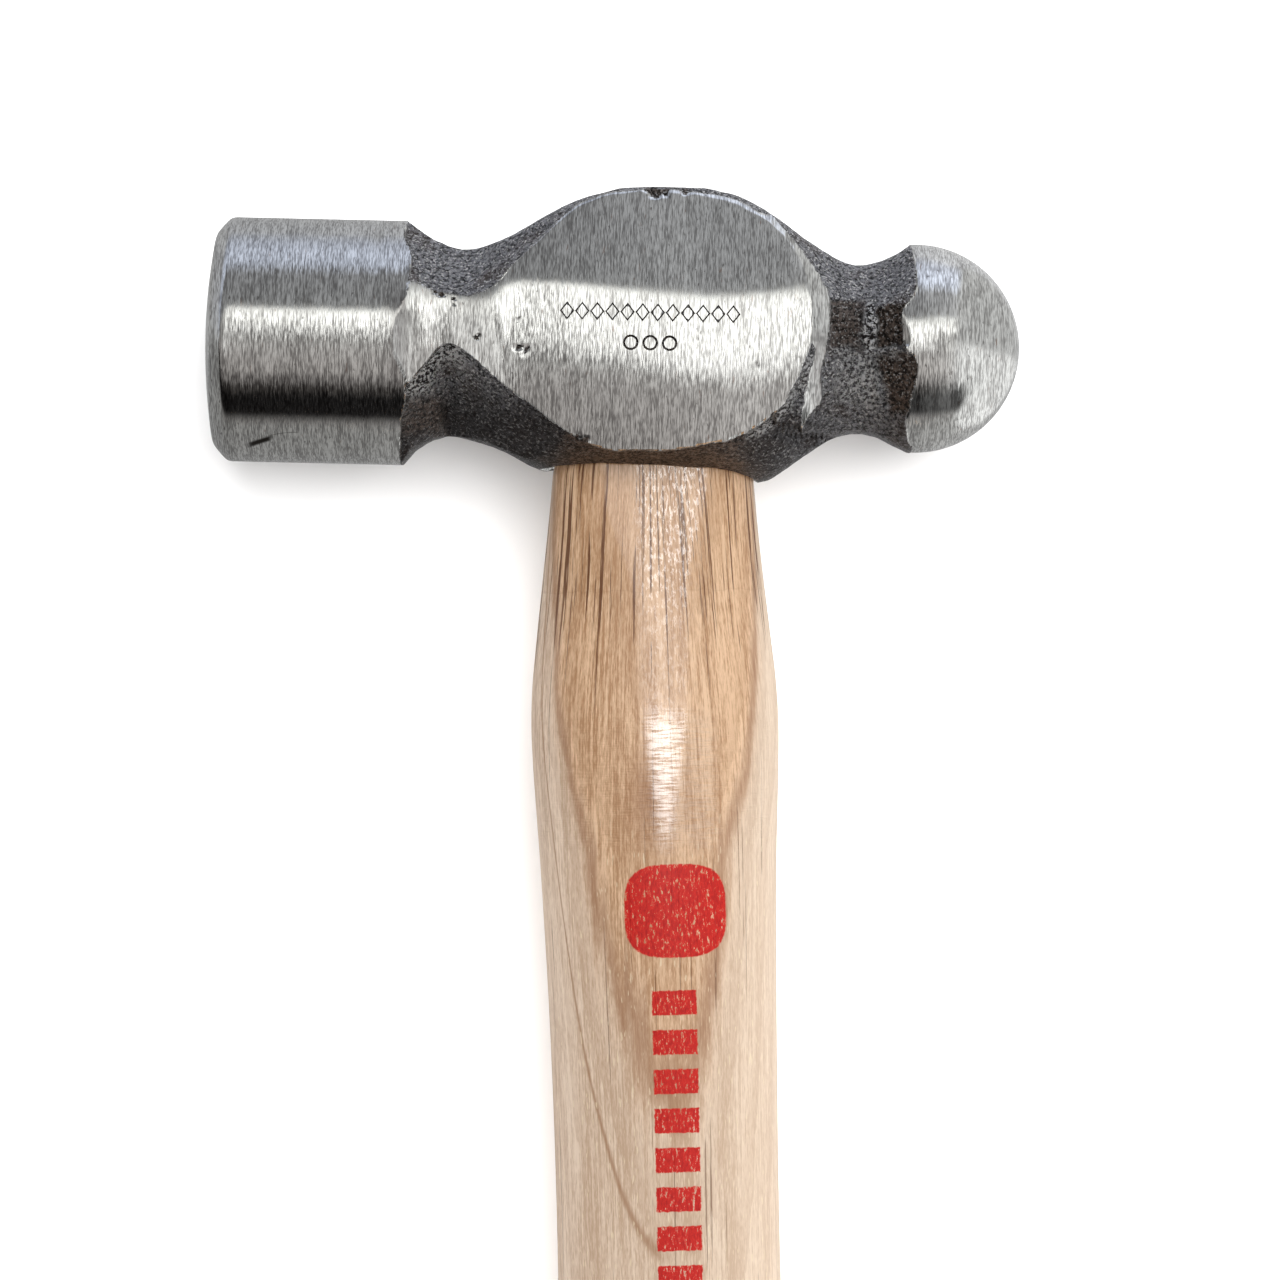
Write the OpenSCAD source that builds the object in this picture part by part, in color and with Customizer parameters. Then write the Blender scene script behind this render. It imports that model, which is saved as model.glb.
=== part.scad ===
/* [Head] */
// Distance from the middle of the eye to the striking face
face_reach = 44.4; // [40:0.1:52]
// Distance from the middle of the eye to the tip of the ball
ball_reach = 36.8; // [34:0.1:42]
// Diameter of the round poll
poll_d = 24.4; // [22:0.1:27]
// Length of the full-diameter part of the poll
poll_len = 17.9; // [14:0.1:19]
// Radius of the crown ground on the striking face
face_crown_r = 60; // [40:1:120]
// Width of the bevel round the striking face, along the head
face_bevel = 1; // [0.4:0.1:2]
// Diameter of the ball
ball_d = 20.8; // [19.5:0.1:22]
// Height of the ball's middle above the poll's axis
ball_rise = 0.6; // [0:0.1:0.8]
// Height of the eye block above the head's axis
eye_crown = 15.9; // [14.5:0.1:17.5]
// Depth of the eye block below the head's axis
eye_heel = 13.9; // [13:0.1:15]
// Distance from the eye to the waist of the poll's neck
poll_neck_reach = 18.9; // [18:0.1:20]
// Half height of the poll's neck at its waist
poll_neck_half = 9.25; // [8.5:0.05:10]
// Half thickness of the poll's neck at its waist
poll_neck_thick = 11; // [10:0.1:11.5]
// Distance from the eye to the waist of the ball's neck
ball_neck_reach = 20.5; // [19.5:0.1:21.5]
// Half height of the ball's neck at its waist
ball_neck_half = 8.35; // [7.5:0.05:9]
// Half thickness of the ball's neck at its waist
ball_neck_thick = 8.4; // [8:0.1:9]
// Half thickness over the ground cheeks
cheek_half = 12.6; // [12.3:0.1:13]
// Radius of the ground cheeks, seen along the head
cheek_r = 28; // [26:1:60]

/* [Eye] */
// Half thickness of the eye at its narrowest
eye_narrow = 5.1; // [4.8:0.1:5.4]
// Half thickness of the eye at its two mouths
eye_mouth = 5.7; // [5.5:0.1:6.2]
// Distance from the eye's middle to the centre of each rounded end
eye_end = 4.2; // [3.5:0.1:5]
// Height of the narrowest place, from the head's axis
eye_throat = -1; // [-4:0.5:4]

/* [Handle] */
// Overall length, from the top of the head to the butt
overall_len = 305; // [280:1:355]
// Angle of the handle and eye off square with the head
handle_lean = 2.6; // [0:0.1:3]
// Half width of the handle where it leaves the head
shoulder_half = 10.1; // [9.8:0.05:10.6]
// Half width of the swell below the head
swell_half = 12.35; // [11.5:0.05:13]
// Half width at the waist
waist_half = 11.15; // [10:0.05:11.5]
// Half width of the grip
grip_half = 14; // [12.5:0.1:14.5]
// Thickness of the oval section as a share of its width
oval_ratio = 0.78; // [0.7:0.01:0.82]

/* [Wedges] */
// Thickness of the wooden wedge at the top
wood_wedge_top = 2.8; // [2:0.1:3.2]
// Depth of the wooden wedge below the top of the eye
wood_wedge_deep = 18; // [14:0.5:22]
// Thickness of a steel wedge at the top
steel_wedge_top = 1.8; // [1.2:0.1:2.4]
// Depth of a steel wedge below the top of the eye
steel_wedge_deep = 12; // [9:0.5:14]
// Distance of each steel wedge from the middle of the eye
steel_wedge_reach = 5.2; // [4:0.1:6]
// Half width of a steel wedge, across the eye
steel_wedge_half = 4; // [3.5:0.1:4.2]

/* [Hidden] */

$fa = 3;
$fs = 0.4;
big = 100;
arc_steps = 9;
oval_sides = 28;
poll_r = poll_d / 2;
ball_r = ball_d / 2;
neck_r = 8;
flush = 0.2;
eye_past = 1;
wedge_tip = 0.5;
tenon_top = eye_crown - flush;

// Half size across the corners of the eight-sided section
corner_crown = 15.8;
corner_heel = 14.9;
corner_poll_neck = 10;
corner_ball_neck = 8.5;

// The waisted necks run into the poll and into the ball
poll_join = face_reach - face_bevel - poll_len;
poll_back_bevel = 1.3;
neck_end = poll_join + 1;
ball_join = ball_reach - ball_r;

// Place the part over the middle of the surface it lies on
mid_x = (ball_reach - face_reach) / 2;
mid_y = eye_crown - overall_len / 2;

// Distance below the head's axis, half width and half thickness, from the eye to the butt
butt = overall_len - eye_crown;
grip_thick = grip_half * oval_ratio;
waist_thick = waist_half * oval_ratio;
handle_line = [
    [eye_heel - 0.6, shoulder_half - 0.4, eye_mouth - 0.2],
    [eye_heel + 2, shoulder_half + 0.1, eye_mouth + 0.2],
    [eye_heel + 8, shoulder_half + 0.7, eye_mouth + 0.9],
    [eye_heel + 16, swell_half - 0.55, eye_mouth + 2.2],
    [eye_heel + 24, swell_half, eye_mouth + 3],
    [eye_heel + 35, swell_half - 0.45, eye_mouth + 3.1],
    [eye_heel + 47, waist_half + 0.4, waist_thick + 0.2],
    [eye_heel + 68, waist_half, waist_thick],
    [butt * 0.42, waist_half + 0.4, waist_thick + 0.3],
    [butt * 0.55, grip_half - 1.9, grip_thick - 1.2],
    [butt * 0.7, grip_half - 0.5, grip_thick - 0.3],
    [butt * 0.83, grip_half, grip_thick],
    [butt * 0.93, grip_half - 0.4, grip_thick - 0.2],
    [butt - 7, grip_half - 1.2, grip_thick - 0.9],
    [butt - 2.5, grip_half - 2.5, grip_thick - 2],
    [butt, grip_half - 5.5, grip_thick - 4.6]
];

// A smooth curve through four neighbouring values, t running from the second to the third
function blend(a, b, c, d, t) =
    b + 0.5 * t * (c - a + t * (2 * a - 5 * b + 4 * c - d + t * (3 * (b - c) + d - a)));

function station(list, i) = list[max(0, min(len(list) - 1, i))];

function smooth_line(list, steps) = concat(
    [
        for (i = [0 : len(list) - 2])
            for (s = [0 : steps - 1])
                [for (k = [0 : 2])
                    blend(station(list, i - 1)[k], list[i][k],
                          list[i + 1][k], station(list, i + 2)[k], s / steps)]
    ],
    [list[len(list) - 1]]
);

function arc(x, y, r, from, to, steps) = [
    for (i = [0 : steps])
        let (turn = from + (to - from) * i / steps)
            [x + r * cos(turn), y + r * sin(turn)]
];

// One quarter of a waisted outline: a swell falling to a waist, then rising again
function quarter(run, reach, top, waist) =
    let (
        fall = top - waist,
        span = (run * run + fall * fall) / (2 * fall),
        swell_r = span - neck_r,
        lean = asin(run / span),
        rise = waist + neck_r - neck_r * cos(lean)
    )
    concat(
        arc(0, top - swell_r, swell_r, 90, 90 - lean, arc_steps),
        arc(run, waist + neck_r, neck_r, 270 - lean * 0.9, 270 + lean, arc_steps),
        [[reach, rise]]
    );

function flipped(list, x, y) = [for (p = list) [x * p[0], y * p[1]]];

// The same points the other way round, without the one on the middle line
function reversed(list) = [for (i = [len(list) - 1 : -1 : 1]) list[i]];

// Its neck rises half as much as the ball does
module waisted_outline(top, low, poll_waist, ball_waist, rise) {
    polygon(concat(
        quarter(ball_neck_reach, ball_join, top, ball_waist + rise / 2),
        flipped(reversed(quarter(ball_neck_reach, ball_join, low, ball_waist - rise / 2)), 1, -1),
        flipped(quarter(poll_neck_reach, neck_end, low, poll_waist), -1, -1),
        flipped(reversed(quarter(poll_neck_reach, neck_end, top, poll_waist)), -1, 1)
    ));
}

module side_outline() {
    waisted_outline(eye_crown, eye_heel, poll_neck_half, ball_neck_half, ball_rise);
}

// The head seen from the side, carried through its thickness
module side_block() {
    linear_extrude(height = big, center = true) side_outline();
}

// The head seen from above, carried through its height
module plan_block() {
    rotate([90, 0, 0])
        linear_extrude(height = big, center = true)
            waisted_outline(cheek_half + 0.1, cheek_half + 0.1, poll_neck_thick, ball_neck_thick, 0);
}

// The head seen on its corners
module corner_block(turn) {
    rotate([turn, 0, 0])
        linear_extrude(height = big, center = true)
            waisted_outline(corner_crown, corner_heel, corner_poll_neck, corner_ball_neck, ball_rise);
}

// One ground cheek, a wide cylinder along the head that also touches the floor
module cheek_block(side) {
    translate([0, -1.6, side * (cheek_half - cheek_r)])
        rotate([0, 90, 0]) cylinder(r = cheek_r, h = big, center = true);
}

module body_block() {
    intersection() {
        side_block();
        plan_block();
        corner_block(45);
        corner_block(-45);
        cheek_block(1);
        cheek_block(-1);
    }
}

// The round poll, with a bevelled and slightly crowned striking face
module poll() {
    intersection() {
        rotate([0, -90, 0])
            rotate_extrude()
                polygon([
                    [0, poll_join - 2],
                    [poll_r - 2.4, poll_join - 2],
                    [poll_r - poll_back_bevel, poll_join - poll_back_bevel],
                    [poll_r, poll_join],
                    [poll_r, face_reach - face_bevel - 1],
                    [poll_r - 0.35, face_reach - face_bevel - 0.4],
                    [poll_r - 1.3, face_reach - face_bevel + 0.35],
                    [poll_r - 2.6, face_reach],
                    [0, face_reach + 1]
                ]);
        translate([face_crown_r - face_reach, 0, 0]) sphere(r = face_crown_r);
    }
}

module ball() {
    translate([ball_join, ball_rise, 0]) sphere(r = ball_r);
}

// The eye narrows from both mouths towards its throat, and is drawn a little past each mouth
module eye_half(depth) {
    length = depth + eye_past;
    wide = eye_narrow + (eye_mouth - eye_narrow) * length / depth;
    for (end = [-1, 1])
        translate([end * eye_end, 0, 0])
            rotate([-90, 0, 0]) cylinder(r1 = eye_narrow, r2 = wide, h = length);
    rotate([90, 0, 90])
        linear_extrude(height = 2 * eye_end, center = true)
            polygon([
                [0, -eye_narrow],
                [length, -wide],
                [length, wide],
                [0, eye_narrow]
            ]);
}

module eye() {
    translate([0, eye_throat, 0]) {
        eye_half(eye_crown - eye_throat);
        mirror([0, 1, 0]) eye_half(eye_heel + eye_throat);
    }
}

// What fills the eye is trimmed just below the top of the head
module flush_top() {
    linear_extrude(height = big, center = true) {
        translate([0, -flush]) side_outline();
        translate([-big / 2, -big]) square([big, big]);
    }
}

// Tapered wedges, thick at the top, pointing down the eye
module wedge_outline(thick, deep) {
    polygon([
        [-thick / 2, tenon_top],
        [-thick / 2 - 0.1, tenon_top + 2],
        [thick / 2 + 0.1, tenon_top + 2],
        [thick / 2, tenon_top],
        [wedge_tip / 2, tenon_top - deep],
        [-wedge_tip / 2, tenon_top - deep]
    ]);
}

module wood_wedge_space() {
    rotate([0, 90, 0])
        linear_extrude(height = big, center = true)
            wedge_outline(wood_wedge_top, wood_wedge_deep);
}

module steel_wedge_space(side) {
    translate([side * steel_wedge_reach, 0, 0])
        linear_extrude(height = 2 * steel_wedge_half, center = true)
            wedge_outline(steel_wedge_top, steel_wedge_deep);
}

// The oval bar of the handle, thinned towards the eye
module handle_bar() {
    rings = smooth_line(handle_line, 2);
    last = len(rings) - 1;
    points = [
        for (r = rings)
            for (k = [0 : oval_sides - 1])
                [r[1] * cos(k * 360 / oval_sides), -r[0], r[2] * sin(k * 360 / oval_sides)]
    ];
    corner = function (i, k) i * oval_sides + k % oval_sides;
    polyhedron(points, concat(
        [[for (k = [0 : oval_sides - 1]) corner(0, k)]],
        [[for (k = [0 : oval_sides - 1]) corner(last, oval_sides - 1 - k)]],
        [
            for (i = [0 : last - 1])
                for (k = [0 : oval_sides - 1])
                    for (half = [0, 1])
                        half == 0
                            ? [corner(i, k), corner(i + 1, k), corner(i, k + 1)]
                            : [corner(i, k + 1), corner(i + 1, k), corner(i + 1, k + 1)]
        ]
    ));
}

module tenon() {
    intersection() {
        eye();
        flush_top();
    }
}

// The handle, the eye and the wedges lean together; the head stays square
module lean() {
    rotate([0, 0, handle_lean]) children();
}

module seat() {
    translate([-mid_x, -mid_y, cheek_half]) children();
}

module head() {
    color("silver")
        seat()
            difference() {
                union() {
                    body_block();
                    poll();
                    ball();
                }
                lean() eye();
            }
}

module handle() {
    color("burlywood")
        seat()
            lean()
                difference() {
                    union() {
                        tenon();
                        handle_bar();
                    }
                    wood_wedge_space();
                    steel_wedge_space(-1);
                    steel_wedge_space(1);
                }
}

module wood_wedge() {
    color("peru")
        seat()
            lean()
                difference() {
                    intersection() {
                        wood_wedge_space();
                        tenon();
                    }
                    steel_wedge_space(-1);
                    steel_wedge_space(1);
                }
}

module steel_wedge(side) {
    color("dimgray")
        seat()
            lean()
                intersection() {
                    steel_wedge_space(side);
                    tenon();
                }
}

module steel_wedge_face() {
    steel_wedge(-1);
}

module steel_wedge_ball() {
    steel_wedge(1);
}

head();
handle();
wood_wedge();
steel_wedge_face();
steel_wedge_ball();
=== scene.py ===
import math

import bpy
import numpy as np
from mathutils import Matrix, Vector


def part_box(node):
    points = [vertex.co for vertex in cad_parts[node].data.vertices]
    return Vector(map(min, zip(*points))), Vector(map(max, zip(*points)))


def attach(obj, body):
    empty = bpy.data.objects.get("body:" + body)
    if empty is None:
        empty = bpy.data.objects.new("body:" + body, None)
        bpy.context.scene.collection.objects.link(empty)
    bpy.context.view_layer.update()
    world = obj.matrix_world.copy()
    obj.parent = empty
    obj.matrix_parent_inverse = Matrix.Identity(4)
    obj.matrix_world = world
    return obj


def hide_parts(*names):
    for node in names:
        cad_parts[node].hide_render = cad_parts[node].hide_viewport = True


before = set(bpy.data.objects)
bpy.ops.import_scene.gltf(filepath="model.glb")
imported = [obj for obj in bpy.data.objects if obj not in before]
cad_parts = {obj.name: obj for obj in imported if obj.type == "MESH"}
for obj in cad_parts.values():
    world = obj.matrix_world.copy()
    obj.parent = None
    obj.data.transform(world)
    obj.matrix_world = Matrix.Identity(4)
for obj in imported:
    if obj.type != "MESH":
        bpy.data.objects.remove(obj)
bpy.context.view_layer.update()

MM = 0.001

# ---------------- the object's own frame
# All shapes below are in millimetres from the middle of the eye:
# x along the head towards the ball, y up the handle, z up off the floor.
FACE = 44.4  # from there to the striking face
BALL = 36.8  # to the end of the ball
CROWN = 15.9  # to the top of the head, where the wood is cut off
HEEL = 13.9  # to the bottom of the head
BUTT = 288.9  # to the end of the handle
LEAN = math.radians(2.6)  # of the handle, from square to the head
POLL_R = 12.2
BALL_R = 10.4
BALL_X = BALL - BALL_R
BALL_RISE = 0.6  # the ball's middle over the poll's, up the handle
CHEEK_Z = 12.6  # the crest of the ground cheek

head_low, head_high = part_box("head")
EYE = Vector((head_high.x - BALL * MM, head_high.y - CROWN * MM, (head_low.z + head_high.z) / 2))


# ---------------- small helpers
def curve(points):
    """A smooth curve through (x, y) points, flat beyond its ends."""
    px, py = np.array(points, float).T
    gap = np.diff(px)
    rise = np.diff(py) / gap
    inner = (rise[:-1] * gap[1:] + rise[1:] * gap[:-1]) / (gap[:-1] + gap[1:])
    slope = np.concatenate([[rise[0]], inner, [rise[-1]]])

    def at(x):
        x = np.clip(np.asarray(x, float), px[0], px[-1])
        i = np.clip(np.searchsorted(px, x, side="right") - 1, 0, len(gap) - 1)
        h = gap[i]
        t = (x - px[i]) / h
        return ((2 * t ** 3 - 3 * t ** 2 + 1) * py[i] + (t ** 3 - 2 * t ** 2 + t) * h * slope[i]
                + (3 * t ** 2 - 2 * t ** 3) * py[i + 1] + (t ** 3 - t ** 2) * h * slope[i + 1])
    return at


def step(value, low, high):
    """Rises smoothly from 0 to 1 as value goes from low to high."""
    t = np.clip((value - low) / (high - low), 0, 1)
    return t * t * (3 - 2 * t)


def band(value, low, high, soft):
    """1 between low and high, falling to 0 over a soft edge."""
    return step(value, low - soft, low + soft) * (1 - step(value, high - soft, high + soft))


def lattice(ix, iy, iz, seed):
    """A repeatable value between -1 and 1 at each whole-number point."""
    with np.errstate(over="ignore"):
        h = (ix.astype(np.uint32) * np.uint32(73856093)) ^ (iy.astype(np.uint32) * np.uint32(19349663))
        h ^= (iz.astype(np.uint32) * np.uint32(83492791)) ^ np.uint32(seed * 2654435 + 12345)
        h ^= h >> np.uint32(13)
        h *= np.uint32(1274126177)
        h ^= h >> np.uint32(16)
    return (h & np.uint32(0xFFFF)).astype(float) / 32767.5 - 1


def noise(x, y, z, size, seed):
    """Smooth noise between -1 and 1 whose lumps are about size across."""
    p = [np.asarray(v, float) / size + 1000 for v in np.broadcast_arrays(x, y, z)]
    base = [np.floor(v).astype(np.int64) for v in p]
    f = [v - b for v, b in zip(p, base)]
    f = [v * v * (3 - 2 * v) for v in f]
    total = 0
    for cx in (0, 1):
        for cy in (0, 1):
            for cz in (0, 1):
                w = (f[0] if cx else 1 - f[0]) * (f[1] if cy else 1 - f[1]) * (f[2] if cz else 1 - f[2])
                total = total + w * lattice(base[0] + cx, base[1] + cy, base[2] + cz, seed)
    return total


def new_object(name, verts, faces):
    """A mesh object from points in millimetres."""
    mesh = bpy.data.meshes.new(name)
    mesh.from_pydata((np.asarray(verts) * MM).tolist(), [], faces)
    mesh.validate()
    mesh.update()
    obj = bpy.data.objects.new(name, mesh)
    bpy.context.scene.collection.objects.link(obj)
    return obj


def grid_mesh(name, rings, outward=1):
    """A closed skin over rings of points, shape (rings, around, 3).

    outward is -1 where the rings run the other way.
    """
    count, around, _ = rings.shape
    i, j = np.meshgrid(np.arange(count - 1), np.arange(around), indexing="ij")
    k = (j + 1) % around
    this, following = i * around, (i + 1) * around
    quads = np.stack([this + j, this + k, following + k, following + j], -1).reshape(-1, 4)
    start = count * around
    last = start - around
    a = np.arange(around)
    b = (a + 1) % around
    caps = [[start, p, q] for p, q in zip(b.tolist(), a.tolist())]
    caps += [[start + 1, last + p, last + q] for p, q in zip(a.tolist(), b.tolist())]
    faces = [face[::outward] for face in quads.tolist() + caps]
    verts = np.vstack([rings.reshape(-1, 3), rings[0].mean(0), rings[-1].mean(0)])
    return new_object(name, verts, faces)


def smooth_shade(obj, crease=40):
    obj.data.polygons.foreach_set("use_smooth", np.ones(len(obj.data.polygons), bool))
    obj.data.set_sharp_from_angle(angle=math.radians(crease))


def cut(obj, cutter):
    """Takes the cutter's shape out of obj and removes the cutter."""
    modifier = obj.modifiers.new("cut", "BOOLEAN")
    modifier.operation = "DIFFERENCE"
    modifier.solver = "EXACT"
    modifier.object = cutter
    shaped = bpy.data.meshes.new_from_object(obj.evaluated_get(bpy.context.evaluated_depsgraph_get()))
    obj.modifiers.clear()
    old = obj.data
    obj.data = shaped
    bpy.data.meshes.remove(old)
    bpy.data.objects.remove(cutter)


# ---------------- the head's surfaces
# Outline of the forging seen from the side: its top and bottom edges
top_edge = curve([
    (-27, 14.2), (-24.8, 12.3), (-23.8, 11.5), (-22.8, 10.8), (-21.3, 9.95), (-18.9, 9.25), (-16.8, 9.55),
    (-13.8, 10.75), (-10.8, 12.6), (-7.8, 14.25), (-3.9, 15.5), (1.5, 15.93), (5.1, 15.8), (9.1, 14.8),
    (12.2, 13.1), (15.2, 10.95), (18.2, 9.3), (20.4, 8.7), (22.3, 9.05), (24.2, 9.9), (26, 11.2), (28, 13)
])
low_edge = curve([
    (-27, 14), (-24.5, 12.1), (-23.4, 10.8), (-22.4, 10.1), (-20.9, 9.4), (-19.2, 9.25), (-17.4, 9.55),
    (-15.4, 10.2), (-13.4, 11.1), (-11.4, 12.2), (-10.2, 12.8), (-5, 13.5), (0, 13.75), (6, 13.85),
    (10.8, 13.6), (12.2, 12.9), (13.6, 11.85), (15.6, 10.4), (17.6, 9), (19.5, 8.15), (20.8, 8),
    (22.5, 8.2), (24.5, 9.1), (26.3, 9.85), (28, 10.6)
])
# How far the front of the forging stands off the head's axis
front_face = curve([
    (-27, 13.6), (-24.6, 12.6), (-22.5, 12.2), (-20.5, 12.1), (-17, 12.8), (-12, 13.6), (0, 14.2),
    (10, 13.6), (14, 12.6), (16.2, 11.3), (17.7, 10.1), (19.2, 9.2), (21.6, 8.8), (23.4, 9.2),
    (24.8, 10), (26, 11), (28, 13)
])
# The same for its sloping sides, upper and lower
upper_side = curve([
    (-27, 14), (-24.6, 12.4), (-23, 11.5), (-20.5, 10.75), (-18, 11), (-15.5, 12.2), (-11, 14.6),
    (-6, 16.4), (1, 17), (7, 16.6), (10, 15.5), (13.8, 13), (16.5, 10.8), (19, 9.35), (21.6, 8.9),
    (23.6, 9.5), (25.2, 10.6), (26.5, 12), (28, 13.5)
])
lower_side = curve([
    (-27, 13.2), (-25, 11.9), (-23.9, 11.1), (-22.3, 9.9), (-20.5, 8.6), (-18.3, 9.1), (-15.6, 10.8),
    (-11.5, 12.8), (-7, 14.5), (0, 15.2), (6, 14.8), (10, 13.6), (12.7, 12.2), (14.3, 11), (16.5, 9.6),
    (19, 8.5), (21.6, 8.15), (23.6, 8.8), (25.2, 10), (26.5, 11), (28, 12)
])
under_side = curve([(-27, 14), (-20, 13.5), (-11, 13), (0, 12.95), (11, 13.1), (14, 13), (28, 14)])
fore_side = curve([
    (-27, 14), (-18, 14), (0, 15), (14, 12.6), (16.5, 10.9), (18, 9.8), (19.5, 8.9), (21.6, 8.35),
    (23.6, 8.9), (25.2, 10), (28, 13)
])
# Each flat of the forging: the way it faces in degrees, and its distance from the axis
PLANES = [
    (90, top_edge), (-90, low_edge), (0, front_face), (180, front_face), (50, upper_side),
    (130, upper_side), (-43, lower_side), (-137, lower_side), (-73, under_side), (-107, under_side),
    (-16, fore_side), (-164, fore_side)
]
# Middle height of each cross section: the ball sits a little higher than the poll
middle = curve([(-20, 0), (16, 0), (23.5, BALL_RISE * 0.85), (26, BALL_RISE), (37, BALL_RISE)])

# Where the grinding stops on the cheek and on the strip that joins it to the poll
ground_top = curve([
    (-28, 7), (-23.9, 5.7), (-22, 5), (-19.8, 4.4), (-17.9, 4.3), (-16, 5), (-14.7, 6.3),
    (-13.2, 7.8), (-10.8, 10.4), (-8.7, 12.4), (-5.2, 14.4), (-1, 15.1), (2.9, 15), (6.3, 14.5),
    (9.6, 13.4), (12.4, 11.4), (14.5, 8.3), (15.4, 5.2), (15.8, 2.6)
])
ground_low = curve([
    (-28, -7.5), (-23.9, -4.6), (-22.3, -2.7), (-20.5, -0.6), (-18.3, -1.2), (-15.6, -3.5), (-11.5, -6.4),
    (-6, -10), (-1.5, -10.6), (2.1, -10.5), (6.2, -9.7), (10, -8.4), (12.7, -6.2), (14.3, -3.6),
    (15.4, -0.8), (15.8, 1.4)
])
# Where the grinding stops at the cheek's ball end, x against y
ground_end = curve([
    (-8.4, 10), (-6.2, 12.7), (-3.6, 14.3), (-0.8, 15.4), (1.4, 15.8), (2.6, 15.8), (5.2, 15.4),
    (8.3, 14.5), (11.4, 12.4), (13.4, 9.6)
])
# A second narrow facet, ground beyond the ball end of the cheek: its inner and outer edges, x against y
facet_inner = curve([
    (-8.5, 15), (-6.9, 14.9), (-5.5, 15.1), (-2.5, 15.6), (0, 15.9), (1, 15.2), (9, 13), (13, 9)
])
facet_outer = curve([
    (-8.5, 14.9), (-6.9, 15.6), (-5.5, 16.7), (-2.5, 16.8), (-0.2, 17.2), (3.1, 17.5), (5.6, 17.3),
    (7.9, 15.9), (10.2, 14.2), (13.3, 11.3)
])
# The edge of the turned poll and of the ball, x against y
poll_edge = curve([
    (-12, -24.7), (-7.7, -24.4), (-4.6, -23.9), (-1.2, -25.2), (0.5, -25.2), (5.7, -23.9), (7.8, -23.8),
    (9.8, -24.6), (12, -24.4)
])
ball_edge = curve([
    (-9.6, 26.2), (-8.9, 25.7), (-7.1, 25.3), (-5.9, 25.5), (-4.5, 25.7), (-0.6, 25.7), (0.1, 25),
    (1.3, 24.75), (4.1, 24.75), (5.6, 25.8), (7.8, 25.95), (9.2, 25.8), (10.6, 25.6)
])

# Heights y at which the lean of the ground surface is added up
LEVEL_Y = np.linspace(-16, 20, 721)


def profile(points, crest):
    """Drop of the ground surface below its crest, from its lean."""
    fall = np.tan(np.radians(curve(points)(LEVEL_Y)))
    drop = np.concatenate([[0], np.cumsum((fall[1:] + fall[:-1]) / 2 * np.diff(LEVEL_Y))])
    drop -= np.interp(crest, LEVEL_Y, drop)
    return lambda y: np.interp(y, LEVEL_Y, drop)


# How far the ground surface leans, in degrees, against height y; it is level at its crest
cheek_drop = profile([
    (-13, -18), (-10, -15.5), (-8, -13.5), (-6, -11.2), (-4.9, -8.8), (-3.1, -3.4), (-1.8, 1.2),
    (-0.5, 4.6), (1, 5.6), (3, 6.8), (4.3, 8.6), (5.5, 14.3), (6.7, 19.3), (8, 21), (12, 22.5), (16, 25)
], -2.1)
strip_drop = profile([
    (-9, -20), (-4, -10), (-1, -5), (1.2, 0.5), (2.2, 2.5), (3.2, 8), (4.6, 14), (7, 20), (14, 26)
], 1.1)
edge_shift = curve([(-12, 0.7), (-9, 0.6), (-1, 0), (5, -0.45), (10, -0.2), (14, 0.25)])


def ground_height(x, y):
    """Height of the ground cheek over the head's axis, with the hollow of the strip beside the poll."""
    strip = step(-x, 12.5, 17)
    drop = cheek_drop(y - edge_shift(x)) * (1 - strip) + strip_drop(y) * strip
    dome = np.where(x > 0, x * x / 400, np.minimum(-x, 14) ** 2 / 600)
    deepest = 0.85
    hollow = deepest * np.clip(1 - ((x + 20.6) / 5.2) ** 2, -3, 1)
    hollow = np.where(x > -20.6, deepest * band(x, -24, -17.2, 3.0), hollow)
    return CHEEK_Z - drop - dome - hollow


def off_edge(edge, x, y):
    """How far a place lies below a sloping edge, measured square to it."""
    slope = (edge(x + 0.05) - edge(x - 0.05)) / 0.1
    return (edge(x) - y) / np.sqrt(1 + slope ** 2)


def cheek_margin(x, y, side):
    """How far inside the ground cheek a place is; negative outside it."""
    inside = np.minimum(off_edge(ground_top, x, y), -off_edge(ground_low, x, y))
    inside = np.where(x > 12.4, off_edge(ground_end, y, x), inside)
    return inside + 0.12 * noise(x, y, side * 9, 1.5, 3) + 0.07 * noise(x, y, side * 9, 0.5, 4)


def forged_radius(x, angle):
    """Distance from the section's middle to the forged skin, a bar with rounded flats."""
    power = 26  # the higher, the sharper the corners between the flats
    total = 0
    for degrees, distance in PLANES:
        turn = math.radians(degrees)
        facing = np.clip(np.cos(angle - turn), 0, None)
        total = total + (facing / (distance(x) - middle(x) * math.sin(turn))) ** power
    return total ** (-1 / power)


NECK_END = 26.3


def neck_relief(x, y):
    """Hollows and ridges that trimming left on the front of the ball's neck."""
    x = x + 0.3 * noise(x, y, 1, 1.3, 51) + 0.13 * noise(x, y, 1, 0.45, 52)
    y = y + 0.25 * noise(x, y, 9, 1.2, 53) + 0.1 * noise(x, y, 9, 0.45, 54)
    slant = 21.6 - 0.32 * (y + 0.6)
    hollows = (0.3 * band(x, 17.6, 20.9, 0.3) * band(y, -0.1, 4.8, 0.25)
               + 0.5 * band(x, 22.25, 25.6, 0.14) * band(y, 0.3, 4.15, 0.18)
               + 0.45 * step(x - slant, -0.25, 0.35) * band(y, -6.3, -0.6, 0.4))
    ridges = (0.14 * band(x, 18, 25.8, 0.3) * band(y, -0.42, 0.08, 0.16)
              + 0.12 * band(x, 21.1, 22.0, 0.25) * band(y, 0.4, 4.6, 0.25))
    return ridges - hollows * (x < NECK_END)


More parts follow.
